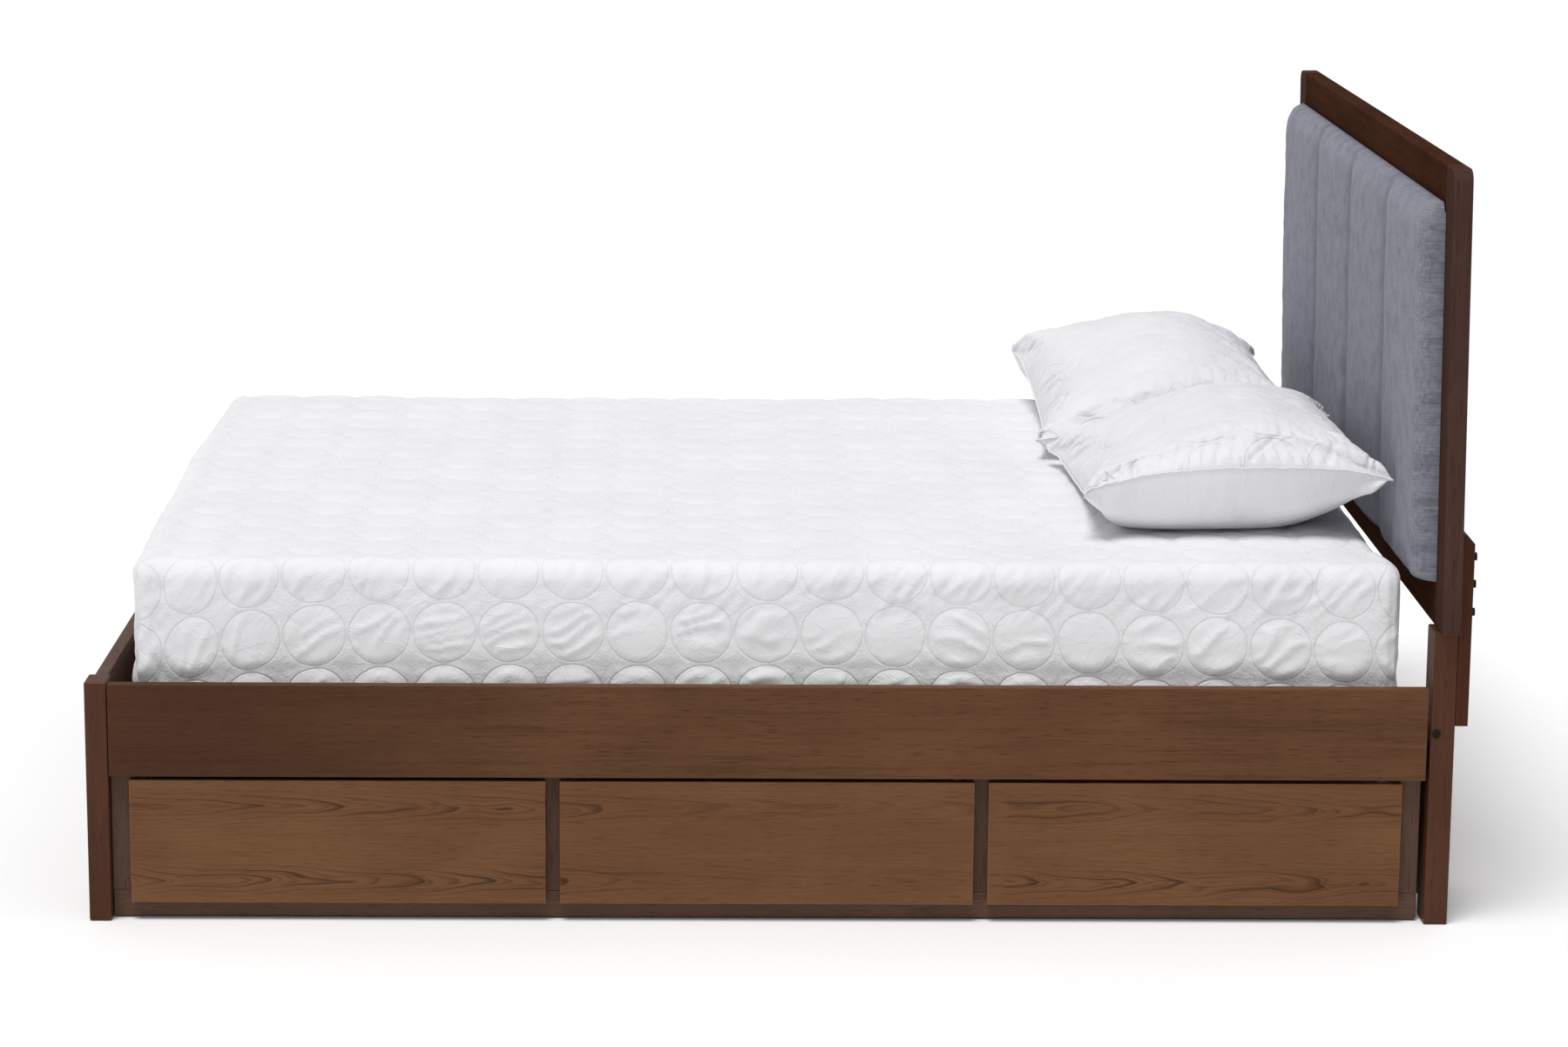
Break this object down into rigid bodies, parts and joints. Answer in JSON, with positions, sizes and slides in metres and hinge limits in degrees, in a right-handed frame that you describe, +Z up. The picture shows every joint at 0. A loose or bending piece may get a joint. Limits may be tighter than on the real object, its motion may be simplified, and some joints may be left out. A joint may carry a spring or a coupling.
{
  "type": "platform bed with storage drawers",
  "caption": "Queen platform bed in walnut-stained wood, with drawers along one side, slatted base, and a framed headboard with a channelled grey pad; quilted white bedding.",
  "frame": {"origin": "on the floor, under the centre of the overall box", "axes": "+Y runs from the foot to the headboard, +Z is up, +X points out of the side that has the drawers"},
  "size_m": [1.65, 2.133, 1.1823],
  "materials": {
    "walnut_stain": "satin dark walnut stain with fine grain",
    "drawer_front_veneer": "satin ash veneer with cathedral grain, mid walnut stain",
    "pale_wood": "sanded pale softwood, thin clear lacquer",
    "plywood": "sanded plywood",
    "grey_weave": "heathered blue-grey linen-look weave",
    "white_quilt": "white microfibre quilted in circles",
    "mattress_ticking": "knitted off-white mattress cover",
    "black_steel": "blackened steel"
  },
  "bodies": {
    "frame": {"foot_post_right": "walnut_stain", "foot_post_left": "walnut_stain", "footboard_panel": "walnut_stain", "head_post_right": "walnut_stain", "head_post_left": "walnut_stain", "head_end_panel": "walnut_stain", "side_rail_right": "walnut_stain", "side_rail_left": "walnut_stain", "base_rail_right": "walnut_stain", "frame_stile_1": "walnut_stain", "frame_stile_2": "walnut_stain", "frame_stile_3": "walnut_stain", "frame_stile_4": "walnut_stain", "side_panel_left": "walnut_stain", "headboard_top_rail": "walnut_stain", "headboard_bottom_rail": "walnut_stain", "headboard_stile_right": "walnut_stain", "headboard_stile_left": "walnut_stain", "headboard_leg_right": "walnut_stain", "headboard_leg_left": "walnut_stain", "headboard_back_panel": "walnut_stain", "drawer_runner_1": "pale_wood", "drawer_runner_2": "pale_wood", "drawer_runner_3": "pale_wood", "drawer_runner_4": "pale_wood", "centre_divider": "plywood", "slat_ledge_right": "pale_wood", "head_post_bolt_right": "black_steel", "leg_bolt_right_1": "black_steel", "leg_bolt_right_2": "black_steel", "leg_bolt_right_3": "black_steel", "slat_ledge_left": "pale_wood", "head_post_bolt_left": "black_steel", "leg_bolt_left_1": "black_steel", "leg_bolt_left_2": "black_steel", "leg_bolt_left_3": "black_steel", "slat_roll": "pale_wood", "headboard_pad": "grey_weave"},
    "drawer_1": {"drawer_1_front": "drawer_front_veneer", "drawer_1_box_front": "pale_wood", "drawer_1_side_foot": "pale_wood", "drawer_1_side_head": "pale_wood", "drawer_1_back": "pale_wood", "drawer_1_bottom": "plywood"},
    "drawer_2": {"drawer_2_front": "drawer_front_veneer", "drawer_2_box_front": "pale_wood", "drawer_2_side_foot": "pale_wood", "drawer_2_side_head": "pale_wood", "drawer_2_back": "pale_wood", "drawer_2_bottom": "plywood"},
    "drawer_3": {"drawer_3_front": "drawer_front_veneer", "drawer_3_box_front": "pale_wood", "drawer_3_side_foot": "pale_wood", "drawer_3_side_head": "pale_wood", "drawer_3_back": "pale_wood", "drawer_3_bottom": "plywood"},
    "mattress": {"mattress": "mattress_ticking", "coverlet": "white_quilt"},
    "pillow_near": {"pillow_near": "white_quilt"},
    "pillow_far": {"pillow_far": "white_quilt"}
  },
  "joints": [
    {"name": "drawer_1_slide", "type": "slide", "parent": "frame", "child": "drawer_1", "axis": [1, 0, 0], "range_m": [0, 0.4]},
    {"name": "drawer_2_slide", "type": "slide", "parent": "frame", "child": "drawer_2", "axis": [1, 0, 0], "range_m": [0, 0.4]},
    {"name": "drawer_3_slide", "type": "slide", "parent": "frame", "child": "drawer_3", "axis": [1, 0, 0], "range_m": [0, 0.4]},
    {"name": "mattress_lift", "type": "slide", "parent": "frame", "child": "mattress", "axis": [0, 0, 1], "range_m": [0, 0.25]},
    {"name": "pillow_near_lift", "type": "slide", "parent": "mattress", "child": "pillow_near", "axis": [0, 0, 1], "range_m": [0, 0.2]},
    {"name": "pillow_far_lift", "type": "slide", "parent": "mattress", "child": "pillow_far", "axis": [0, 0, 1], "range_m": [0, 0.2]}
  ]
}
